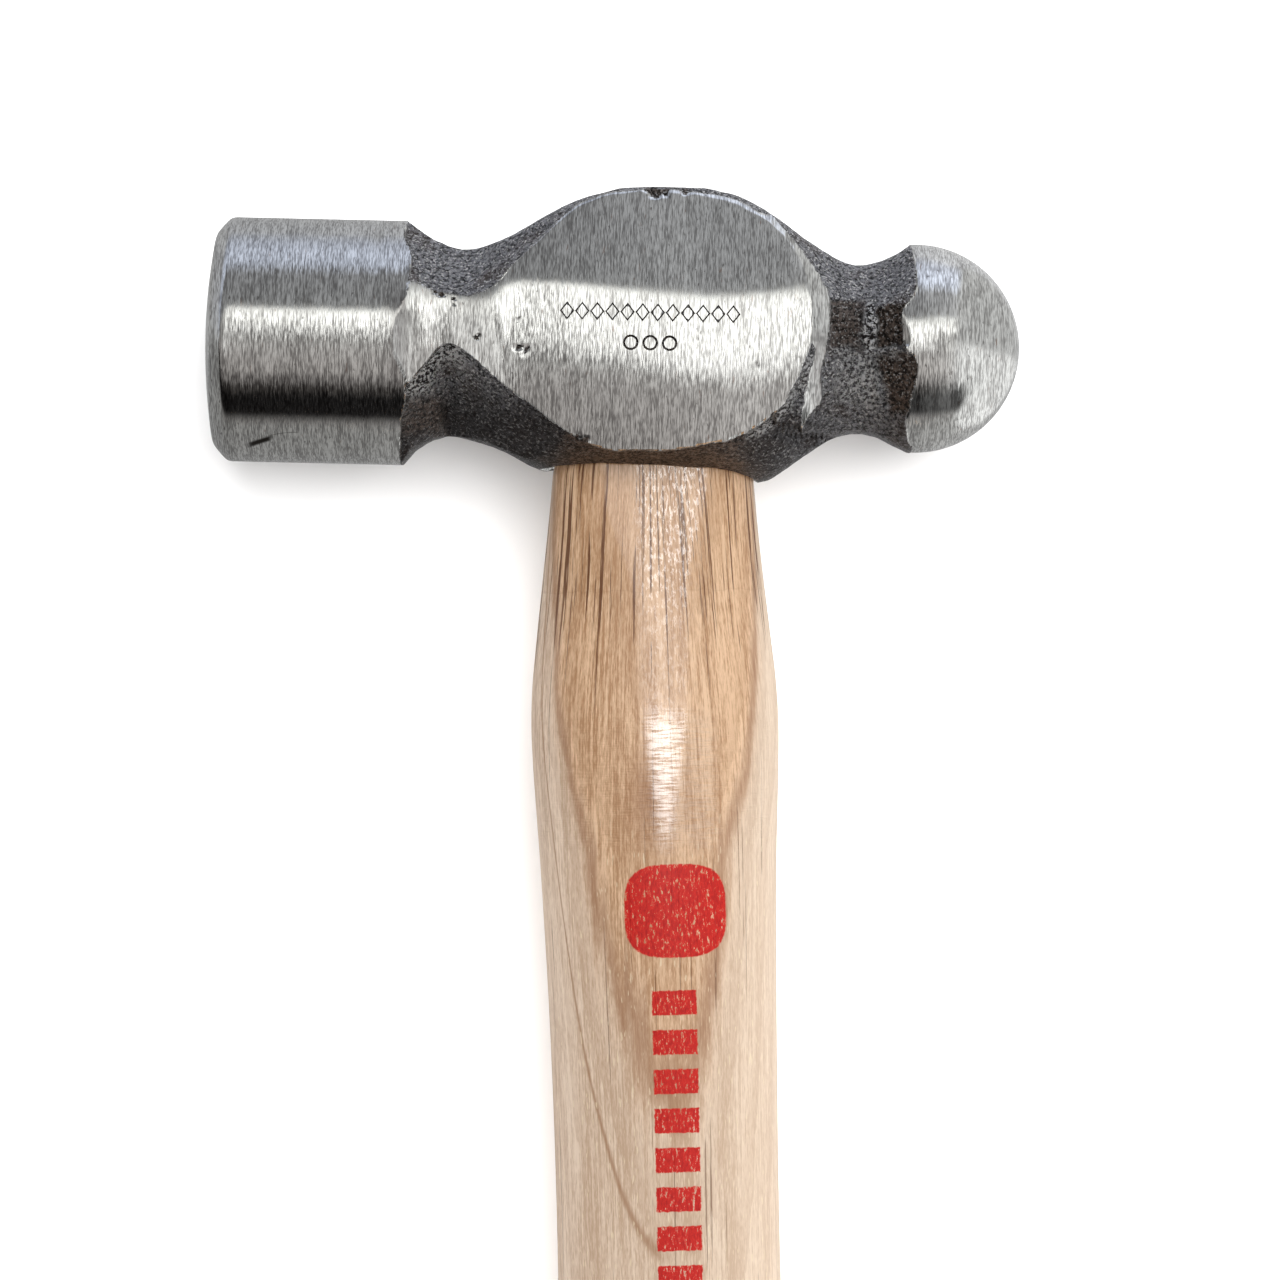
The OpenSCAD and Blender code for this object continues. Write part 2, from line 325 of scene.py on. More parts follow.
# Pits left in the front cheek: x, y, radius, depth
PITS = [
    (-19.5, 3.9, 0.16, 0.4), (-19.4, 3.3, 0.1, 0.3), (-20.7, 4.3, 0.22, 0.35), (-21.3, 4.5, 0.18, 0.3),
    (-13.1, 1.9, 0.13, 0.3), (-17.1, 0.1, 0.2, 0.4), (-16.9, 0.35, 0.12, 0.3), (-13.1, -0.9, 0.24, 0.4),
    (-12.7, -0.75, 0.16, 0.3), (-12.2, -1, 0.26, 0.45), (-11.9, -0.7, 0.18, 0.3),
    (-12.4, -1.5, 0.13, 0.3), (10.4, -2.2, 0.16, 0.3), (-15.3, -0.5, 0.09, 0.2), (0.1, 15, 0.55, 0.8),
    (1, 15.15, 0.4, 0.5), (-0.6, 15.3, 0.35, 0.5), (3, 15.3, 0.3, 0.4), (-7, -9.2, 0.2, 0.2),
    (-6.2, -9.6, 0.3, 0.3)
]


def pit_depth(x, y, edge, front):
    """How deep the pits are at each place, the finish edge broken by them, and how pitted the place is."""
    depth_here = np.zeros(edge.shape)
    pitted = np.zeros(edge.shape)
    for px, py, size, depth in PITS:
        near = np.hypot(x - px, y - py) * (1 + 0.35 * noise(x, y, 0, 0.35, 31))
        hole = (1 - step(near, size * 0.8, size * 1.3)) * front
        depth_here = depth_here + 0.5 * depth * hole
        edge = np.where(hole > 0, np.minimum(edge, (near - size * 1.2)), edge)
        pitted = np.maximum(pitted, hole)
    return depth_here, edge, pitted


def forged_finish(x, y, angle, margin, pitted):
    """Where the forged skin is torn bright, where it is dark with scale, and where shade is painted along
    the underside of the cheek.
    """
    wx = x + 0.45 * noise(x, y, 2, 1.3, 61) + 0.2 * noise(x, y, 2, 0.5, 62)
    wy = y + 0.45 * noise(x, y, 8, 1.3, 63) + 0.2 * noise(x, y, 8, 0.5, 64)
    past_slant = step(wx - 21.8 + 0.32 * (wy + 0.6), -0.3, 0.5)
    torn_places = [(1 - step(-margin, 0.9, 2.6)) * step(-wx, 17.5, 19.5) * (y < 2),
                   band(wx, 20.7, 22.2, 0.4) * band(wy, 0.2, 4.7, 0.3),
                   0.55 * band(wx, 18.4, 23.0, 0.9) * band(wy, -5.2, -0.5, 0.8),
                   0.7 * band(wx, 17.8, 25.6, 0.3) * band(wy, -0.6, 0.3, 0.2),
                   0.6 * band(margin, -0.8, 0.0, 0.2) * (x > 9.5) * (y < 0.5) * (y > -9.5)]
    dark_places = [0.8 * band(wx, -24.6, -20.2, 0.8) * band(wy, -9.2, -5.6, 0.8),
                   0.85 * band(wx, 17.6, 21.0, 0.4) * band(wy, -0.1, 4.8, 0.3),
                   band(wx, 22.2, 25.8, 0.15) * band(wy, 0.25, 4.2, 0.2),
                   past_slant * band(wy, -6.4, -0.5, 0.4) * (x < NECK_END),
                   # painted shade: the front of the cheek's underside, turned away from the light, is
                   # painted dark
                   (y < -9) * band(wx, -8.5, 9.5, 1.2) * (np.cos(angle) > 0.2),
                   0.9 * pitted]
    return np.maximum.reduce(torn_places), np.maximum.reduce(dark_places)


def head_skin(x, angle):
    """The skin between the poll and the ball: height y, height z and how each place was finished.

    edge is how far inside ground steel a place is, negative on the forging.
    """
    centre = middle(x)
    front = np.cos(angle) >= 0
    side = np.where(front, 1.0, -1.0)
    radius = forged_radius(x, angle)
    y = centre + radius * np.sin(angle)
    z = radius * np.cos(angle)
    grain = 0.1 * noise(x, y, z, 3.4, 11) + 0.06 * noise(x, y, z, 1.3, 12) + 0.04 * noise(x, y, z, 0.6, 13)
    collar = np.where(x > 20, BALL_R + 0.15, 99) + 0.5 * grain
    radius = np.minimum(radius + grain, collar) + neck_relief(x, y) * step(np.cos(angle), 0.3, 0.6)
    y = centre + radius * np.sin(angle)
    z = np.abs(radius * np.cos(angle))

    # ground cheek, its worn rim and the second facet
    margin = cheek_margin(x, y, side)
    level = ground_height(x, y)
    rim = 0.34 * step(y, 3, 6) * step(x, -11, -7) * (0.9 + 0.5 * noise(x, y, side * 5, 2.2, 23))
    facet = np.minimum(facet_outer(y) - x, x - facet_inner(y)) * 0.8
    facet = facet + 0.1 * noise(x, y, side * 5, 0.8, 24)
    facet = np.where((x > 8) & (y < 13.2) & (y > -8.5), facet, -9.0)
    outside = np.minimum(margin, 0)
    bevel = level + 0.55 * outside
    past = np.minimum(np.maximum(margin + rim, facet), 0)
    rough = np.minimum(z, bevel + 0.5 * past + np.where(outside < 0, 0.7 * grain, 0))
    cheek_zone = (x > -27) & (x < 19)
    between = (x > 12.4) & (x < facet_outer(y)) & (y > -7.8) & (y < 3)
    rough = np.where(between, bevel + 0.35 * past + 0.6 * grain, rough)
    edge = np.maximum(margin + rim, facet)
    z = np.where(cheek_zone, np.where(edge > 0, np.where(margin > 0, level, bevel), rough), z)
    edge = np.where(cheek_zone, edge, -9.0)

    depth, edge, pitted = pit_depth(x, y, edge, front)
    z = z - depth

    # round poll, and ball with its flatter belt
    reach = np.hypot(y - centre, z)
    poll = poll_edge(y * (1 - 0.1 * (side < 0))) - x + 0.08 * noise(x, y, side * 7, 0.6, 41)
    shrink = np.where(poll > 0, POLL_R / reach, 1)
    y = centre + (y - centre) * shrink
    z = z * shrink
    edge = np.maximum(edge, poll)
    reach = np.hypot(y - centre, z)
    ball = x - ball_edge(y) + 0.08 * noise(x, y, side * 7, 0.5, 42)
    ball_r = np.where(ball > 0, belt_radius(x, angle), reach)
    shrink = np.where(ball > 0, np.where(x > 25.9, ball_r / reach, np.minimum(ball_r / reach, 1.06)), 1)
    y = centre + (y - centre) * shrink
    z = z * shrink
    edge = np.where(x > 22, np.maximum(edge, ball), edge)
    y = np.where(y > 15.7, 15.7 + 0.4 * (y - 15.7), y)  # no higher than the crown
    flake, scale_and_shade = forged_finish(x, y, angle, margin, pitted)
    return y, z * side, edge, flake * front, scale_and_shade * front


def belt_radius(x, angle):
    """The ball: a sphere whose flanks are ground a little fuller up to a soft ridge."""
    nose_x = 25.55
    sphere = np.sqrt(np.clip(BALL_R ** 2 - np.clip(x - BALL_X, 0, BALL_R) ** 2, 0, None))
    nose = np.sqrt(np.clip((BALL - nose_x) ** 2 - (x - nose_x) ** 2, 0, None))
    belt = BALL_R - 0.018 * np.clip(x - BALL_X, 0, None) ** 2
    full = (belt + nose - np.sqrt((belt - nose) ** 2 + 0.02)) / 2
    full = np.where(x > 35.5, np.minimum(full, nose), full)
    weight = step(np.abs(np.cos(angle)), 0.25, 0.75) * 0.85
    return sphere * (1 - weight) + full * weight


# Rings of the skin follow the upper and lower edges of the grinding, on the front and on the back
grid_top = curve([(-28, 6.8), (-26, 6.3)] + [(x, float(ground_top(x))) for x in np.arange(-24, 14.1, 1)]
                 + [(16, 7.0), (18, 6.2), (22, 5.8), (28, 5.8)])
grid_low = curve([(-28, -7.2), (-26, -6)] + [(x, float(ground_low(x))) for x in np.arange(-24, 12.1, 1)]
                 + [(15, -6.2), (18, -6), (28, -6)])


def ring_angles(x):
    """Angles of one ring's points, for each station x."""
    x = x[:, None]
    centre = middle(x)
    top, low = grid_top(x), grid_low(x)
    lowest_z = 5  # keeps the angle steady where the cheek's surface runs out

    def across(count):
        y = low + (top - low) * np.arange(count + 1) / count
        return np.arctan2(y - centre, np.maximum(ground_height(x, y), lowest_z))

    rim_y = top + np.array([0.12, 0.24, 0.36])
    rim = np.arctan2(rim_y - centre, np.maximum(ground_height(x, top), lowest_z) - (rim_y - top))
    quarter = math.pi / 2

    def spread(start, end, count):
        return start + (end - start) * np.arange(count) / count

    front, back = across(68), math.pi - across(46)[:, ::-1]
    return np.hstack([spread(-quarter, front[:, :1], 30), front, rim[:, :2], spread(rim[:, 2:], quarter, 26),
                      spread(quarter, back[:, :1], 24), back, spread(back[:, -1:] + 0.01, 3 * quarter, 26)])


stations = np.concatenate([np.linspace(-41.6, -26.2, 16)[:-1], np.linspace(-26.2, -14, 82)[:-1],
                           np.linspace(-14, 12.5, 100)[:-1], np.linspace(12.5, BALL_X, 94)[:-1]])
angles = ring_angles(stations)
skin_y, skin_z, edge, flake, scale_and_shade = head_skin(stations[:, None], angles)
rings = np.stack([np.broadcast_to(stations[:, None], angles.shape), skin_y, skin_z], -1)
finish = np.stack([edge, flake, scale_and_shade], -1)


def round_ring(x, r, angle, centre=0.0):
    r = np.broadcast_to(r, angle.shape)
    return np.stack([np.full(angle.shape, x), centre + r * np.sin(angle), r * np.cos(angle)], -1)


# crowned striking face and its bevel, then the belt and nose of the ball
CROWN_R = 60
before = [round_ring(-FACE + r * r / (2 * CROWN_R), r, angles[0]) for r in np.linspace(0.4, 10.4, 18)]
# the bevel: distance behind the face, radius
BEVEL = [
    (1.02, 10.7), (1.22, 10.98), (1.5, 11.3), (1.8, 11.63), (2, 11.84), (2.16, 11.99), (2.34, 12.1),
    (2.56, 12.17)
]
before += [round_ring(-FACE + behind, r, angles[0]) for behind, r in BEVEL]
nose_turns = np.linspace(0, math.pi / 2, 62)[:-1]
after = []
for turn in nose_turns:
    x = BALL_X + BALL_R * math.sin(turn)
    after.append(round_ring(x, belt_radius(x, angles[-1]), angles[-1], BALL_RISE))
rings = np.concatenate([before, rings, after])
clean = np.tile([3.0, 0, 0], (1, len(angles[0]), 1))
finish = np.concatenate([clean] * len(before) + [finish] + [clean] * len(after))

head = grid_mesh("hammer_head", rings)
finish = np.vstack([finish.reshape(-1, 3), [[3, 0, 0], [3, 0, 0]]])
for column, name in enumerate(("edge", "flake", "scale_and_shade")):
    layer = head.data.attributes.new(name, "FLOAT", "POINT")
    layer.data.foreach_set("value", np.clip(finish[:, column], -3, 3).astype(np.float32))


# ---------------- the eye through the head
def stadium(angle, end, half):
    """A slot with round ends: end is the distance to each round end's centre, half its half thickness."""
    c, s = np.cos(angle), np.sin(angle)
    return end * np.sign(c) * np.clip(np.abs(c) * 8, 0, 1) + half * c, half * s


def lean_point(x, y):
    return x * math.cos(LEAN) - y * math.sin(LEAN), x * math.sin(LEAN) + y * math.cos(LEAN)


EYE_END = 4.2  # from the middle of the eye to the middle of each round end
EYE_NARROW = 5.1  # half thickness at the throat
EYE_MOUTH = 5.7  # and at both mouths
EYE_THROAT = -1.0  # height y of the throat
EYE_AROUND = 144
eye_angles = np.arange(EYE_AROUND) * 2 * math.pi / EYE_AROUND
# the lower mouth's rim, nearly straight across the front
mouth_rim = curve([
    (-11, -10.5), (-9.8, -10.85), (-7, -11.5), (-4, -11.75), (1, -12), (6, -12.15), (9, -12.4),
    (10.4, -12.6)
])


def eye_half(y):
    reach = np.where(y > EYE_THROAT, CROWN - EYE_THROAT, HEEL + EYE_THROAT)
    return EYE_NARROW + (EYE_MOUTH - EYE_NARROW) * np.abs(y - EYE_THROAT) / reach


def eye_ring(y, flare=0.0):
    y = y + np.zeros(EYE_AROUND)
    x, z = stadium(eye_angles, EYE_END, eye_half(np.clip(y, -HEEL, CROWN)) + flare)
    px, py = lean_point(x, y)
    return np.stack([px, py, z], -1)


def mouth_ring(depth, flare, top):
    """One ring of the eye's wall, depth inside the skin at its upper or lower mouth."""
    x, z = stadium(eye_angles, EYE_END, EYE_MOUTH)
    if top:
        y = top_edge(x) - 0.55 * np.clip(np.abs(z) / 6, 0, 1) ** 2 - depth
        return eye_ring(y, flare)
    wide = flare * (1 + 0.9 * np.clip(-x / 10, 0, 1) - 0.4 * np.clip(x / 10, 0, 1))
    return eye_ring(mouth_rim(x) + depth - 0.4 * (z < 0), wide)


# the rounding of each mouth: depth inside the skin, flare
LOWER_MOUTH = [(-3.6, 1.2), (-0.5, 0.8), (-0.05, 0.4), (0.35, 0.2), (1.1, 0.05)]
UPPER_MOUTH = [(1.0, 0.04), (0.45, 0.14), (0.1, 0.36), (-0.2, 0.62), (-2.5, 1.6)]
cutter_rings = [mouth_ring(depth, flare, False) for depth, flare in LOWER_MOUTH]
cutter_rings += [eye_ring(y) for y in (-8, -4, -1, 3, 7, 10.5)]
cutter_rings += [mouth_ring(depth, flare, True) for depth, flare in UPPER_MOUTH]
cut(head, grid_mesh("eye_cutter", np.array(cutter_rings), -1))


# ---------------- plain marks stamped in the cheek
def ring_cutter(outline, centre, width=0.21, depth=0.15):
    """A groove along a closed outline, as points and faces of one closed tube over the cheek."""
    outline = np.array(outline, float)
    count = len(outline)
    share = width / 2 / np.abs(outline).max()
    outer = centre + outline * (1 + share)
    inner = centre + outline * (1 - share)
    points = []
    for ring, lift in ((outer, -depth), (inner, -depth), (inner, 1.5), (outer, 1.5)):
        z = ground_height(ring[:, 0], ring[:, 1]) + lift
        points.append(np.column_stack([ring, z]))
    faces = []
    for a in range(4):
        b = (a + 1) % 4
        for k in range(count):
            m = (k + 1) % count
            faces.append([a * count + k, b * count + k, b * count + m, a * count + m])
    return np.vstack(points), faces


LOZENGE = [(0.62, 0), (0, 0.8), (-0.62, 0), (0, -0.8)]
CIRCLE_R = 0.66
CIRCLE = [(CIRCLE_R * math.cos(k * math.pi / 9), CIRCLE_R * math.sin(k * math.pi / 9)) for k in range(18)]
# rows of marks: outline, how many, x of the first, pitch, height y
ROWS = [(LOZENGE, 12, -8.3, 1.48, 2.95), (CIRCLE, 3, -2.0, 1.9, -0.05)]
verts, faces = [], []
for outline, count, first_x, pitch, row_y in ROWS:
    for k in range(count):
        points, sides = ring_cutter(outline, np.array((first_x + pitch * k, row_y)))
        start = sum(len(v) for v in verts)
        verts.append(points)
        faces += [[start + i for i in face] for face in sides]
cut(head, new_object("mark_cutter", np.vstack(verts), faces))

# the grooves of the marks and the walls of the eye are dark and unpolished
points = np.empty(len(head.data.vertices) * 3)
head.data.vertices.foreach_get("co", points)
px, py, pz = points.reshape(-1, 3).T / MM
among_marks = (pz > 0) & (np.abs(px) < 10) & (py > -1.5) & (py < 4.5)
sunk = among_marks & (ground_height(px, py) - pz > 0.04)
layer = np.empty(len(px), np.float32)
head.data.attributes["edge"].data.foreach_get("value", layer)
eye_wall = (np.abs(pz) < 7.5) & (layer == 0)  # the cutter brings no finish with it
for name, value in (("edge", -2.0), ("scale_and_shade", 1.0)):
    head.data.attributes[name].data.foreach_get("value", layer)
    layer[sunk | eye_wall] = value
    head.data.attributes[name].data.foreach_set("value", layer)
smooth_shade(head)

head.location = EYE
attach(head, "root")
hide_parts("head")


# ---------------- the handle
# distance below the eye's middle against half width, then half thickness
half_width = curve([
    (9, 9.75), (13.1, 10.05), (17, 10.4), (21, 10.82), (29, 11.72), (33, 12.15), (37, 12.36), (41, 12.3),
    (45, 12.12), (51, 11.83), (57, 11.62), (63, 11.45), (75, 11.22), (87, 11.12), (97, 11.15), (122, 11.5),
    (159, 12.4), (202, 13.5), (240, 14), (268, 13.6), (282, 12.75)
])
half_thick = curve([
    (9, 5.6), (13.1, 5.75), (17, 6.3), (21, 7), (29, 8.1), (37.5, 9.05), (45, 9.6), (53, 9.9), (61, 9.8),
    (80, 9.1), (93, 8.8), (122, 8.9), (159, 9.6), (202, 10.5), (240, 10.9), (268, 10.7), (282, 10.1)
])
# the stick is not quite straight: it sits a little towards the face below the head
stick_bow = curve([
    (12, -0.1), (21, -0.3), (36, -0.45), (51, -0.42), (66, -0.3), (100, -0.25), (200, -0.1), (285, 0)
])
HANDLE_AROUND = 120
turn = np.arange(HANDLE_AROUND) * 2 * math.pi / HANDLE_AROUND


def slot_ring(y, shrink=0.03):
    x, z = stadium(turn, EYE_END, float(eye_half(y)) - shrink)
    return np.stack([x, np.full(HANDLE_AROUND, float(y)), z], -1)


def oval_ring(below, scale=1.0, slot=0.0):
    """An oval section of the stick, or with slot 1 a straight-sided one of the same size."""
    w = float(half_width(below)) * scale
    t = float(half_thick(below)) * scale
    x, z = stadium(turn, w - t, t)
    x = x * slot + w * np.cos(turn) * (1 - slot)
    z = z * slot + t * np.sin(turn) * (1 - slot)
    return np.stack([stick_bow(below) + x, np.full(HANDLE_AROUND, -below), z], -1)


def flush_y(x):
    """Height, up the handle, at which the wood is cut off: level with the head, just below the wedges."""
    rim = (top_edge(x - CROWN * math.sin(LEAN)) - 0.2 - x * math.sin(LEAN)) / math.cos(LEAN)
    return np.minimum(rim, CROWN - 0.32 - 0.0215 * x * x)


def top_cap(shrink, drop):
    ring = slot_ring(CROWN) * [shrink, 1, shrink]
    ring[:, 1] = flush_y(ring[:, 0]) - drop
    return ring


# the rounding of the butt: distance from the end, scale
BUTT_ROUNDING = [
    (0, 0.665), (0.12, 0.7), (0.45, 0.76), (1.1, 0.835), (2, 0.895), (3.2, 0.94), (4.8, 0.97),
    (6.6, 0.99)
]
SHOULDER = 27  # from here up the oval turns into the straight-sided tongue
rings = [oval_ring(BUTT, 0.66 * k) for k in np.linspace(0.02, 0.985, 14)]
rings += [oval_ring(BUTT - depth, scale) for depth, scale in BUTT_ROUNDING]
rings += [oval_ring(below) for below in np.arange(BUTT - 8.4, SHOULDER, -1.0)]
rings += [oval_ring(below, 1.0, float(step(SHOULDER - below, 0, 14.5)))
          for below in np.arange(SHOULDER, 12.2, -0.5)]
rings += [oval_ring(below, 1.0, 1.0) * (1 - blend) + slot_ring(-below) * blend
          for below, blend in ((12, 0.15), (11.5, 0.5), (11, 0.85), (10.6, 1.0))]
rings += [slot_ring(y) for y in np.arange(-10, 12.5, 1.0)]
rings += [top_cap(shrink, drop) for shrink, drop in [(1.0, 0.9), (0.998, 0.25), (0.99, 0.08), (0.975, 0.0)]]
rings += [top_cap(shrink, 0.0) for shrink in np.linspace(0.92, 0.04, 14)]
handle = grid_mesh("hickory_handle", np.array(rings), -1)


def wedge_cutter(thick_top, thick_tip, depth, half_long, centre, across):
    """A tapered slot down to its depth, thin across the axis named: x or z."""
    verts = []
    for y, half in ((CROWN + 1.5, thick_top / 2 * (1 + 1.7 / depth)), (CROWN - 0.2 - depth, thick_tip / 2)):
        for a, b in [(-1, -1), (1, -1), (1, 1), (-1, 1)]:
            if across == "z":
                verts.append((a * half_long, y, b * half))
            else:
                verts.append((centre + a * half, y, b * half_long))
    sides = [(k, 4 + k, 4 + (k + 1) % 4, (k + 1) % 4) for k in range(4)]
    return new_object("slot", verts, [(0, 1, 2, 3), (7, 6, 5, 4)] + sides)


# the slots are a hair larger than the wedges that sit in them
STEEL_WEDGE_X = 5.2
cut(handle, wedge_cutter(thick_top=2.86, thick_tip=0.56, depth=18.05, half_long=14, centre=0, across="z"))
for place in (-STEEL_WEDGE_X, STEEL_WEDGE_X):
    cut(handle, wedge_cutter(thick_top=1.84, thick_tip=0.54, depth=12.05, half_long=4.02, centre=place,
                             across="x"))
smooth_shade(handle)
handle.matrix_world = Matrix.Translation(EYE) @ Matrix.Rotation(LEAN, 4, "Z")
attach(handle, "root")
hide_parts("handle")


# ---------------- materials
# The print on the handle: a rounded badge with a column of bars below it
BADGE_X, BADGE_Y = 1.1, -55.8
BADGE_HALF_WIDTH, BADGE_HALF_HEIGHT = 5.0, 4.6
BADGE_POWER = 3.2  # between a circle, 2, and a square
BARS_X = 0.8
BARS_HALF_WIDTH = 2.2
BARS_TOP, BARS_END = -62.9, -109.4
BARS_PITCH = 3.88


class Graph:
    """Short names for building one node tree."""

    def __init__(self, tree):
        self.tree = tree
        tree.nodes.clear()

    def add(self, kind, outlet=0, props=None, **sockets):
        """A node's outlet; its sockets are given by name, with _ for a space, or as i and a number."""
        node = self.tree.nodes.new(kind)
        for key, value in (props or {}).items():
            setattr(node, key, value)
        for key, value in sockets.items():
            key = int(key[1:]) if key[0] == "i" and key[1:].isdigit() else key.replace("_", " ")
            self.put(node.inputs[key], value)
        return node.outputs[outlet]

    def put(self, socket, value):
        if isinstance(value, bpy.types.NodeSocket):
            self.tree.links.new(value, socket)
        else:
            socket.default_value = value

    def math(self, operation, a, b=0.0, c=0.0):
        return self.add("ShaderNodeMath", props={"operation": operation}, i0=a, i1=b, i2=c)

    def times(self, first, *rest):
        for value in rest:
            first = self.math("MULTIPLY", first, value)
        return first

    def times_plus(self, a, b, c):
        return self.math("MULTIPLY_ADD", a, b, c)

    def plus(self, a, b):
        return self.math("ADD", a, b)

    def minus(self, a, b):
        return self.math("SUBTRACT", a, b)

    def larger(self, a, b):
        return self.math("MAXIMUM", a, b)

    def smaller(self, a, b):
        return self.math("MINIMUM", a, b)

    def vector(self, operation, outlet=0, **sockets):
        return self.add("ShaderNodeVectorMath", outlet, {"operation": operation}, **sockets)

    def stretch(self, vector, x, y, z):
        return self.vector("MULTIPLY", i0=vector, i1=(x, y, z))

    def noise(self, vector, scale=1.0, detail=2.0, roughness=0.5, distortion=0.0):
        return self.add("ShaderNodeTexNoise", Vector=vector, Scale=scale, Detail=detail, Roughness=roughness,
                        Distortion=distortion)

    def remap(self, value, low, high, to_low=0.0, to_high=1.0, smooth=False):
        props = {"interpolation_type": "SMOOTHSTEP" if smooth else "LINEAR"}
        return self.add("ShaderNodeMapRange", props=props, i0=value, i1=low, i2=high, i3=to_low, i4=to_high)

    def band(self, value, low, high, soft):
        """1 between low and high, falling to 0 over a soft edge."""
        rise = self.remap(value, low - soft, low + soft, smooth=True)
        return self.times(rise, self.remap(value, high - soft, high + soft, 1, 0, smooth=True))

    def mix(self, factor, a, b):
        return self.add("ShaderNodeMix", outlet=2, props={"data_type": "RGBA"}, i0=factor, i6=a, i7=b)

    def blend(self, factor, a, b):
        return self.add("ShaderNodeMix", props={"data_type": "FLOAT"}, i0=factor, i2=a, i3=b)

    def split(self, vector):
        node = self.tree.nodes.new("ShaderNodeSeparateXYZ")
        self.put(node.inputs[0], vector)
        return node.outputs

    def join(self, x, y, z):
        return self.add("ShaderNodeCombineXYZ", X=x, Y=y, Z=z)

    def place(self):
        """Position on the object, in millimetres."""
        return self.stretch(self.add("ShaderNodeTexCoord", outlet=3), 1000, 1000, 1000)

    def attribute(self, name):
        return self.add("ShaderNodeAttribute", outlet=2, props={"attribute_name": name})

    def surface(self, shader):
        self.put(self.tree.nodes.new("ShaderNodeOutputMaterial").inputs[0], shader)


def new_material(name):
    material = bpy.data.materials.new(name)
    material.use_nodes = True
    return material, Graph(material.node_tree)


def grey(value, warm=0.0):
    return (value * (1 + warm), value, value * (1 - warm), 1)


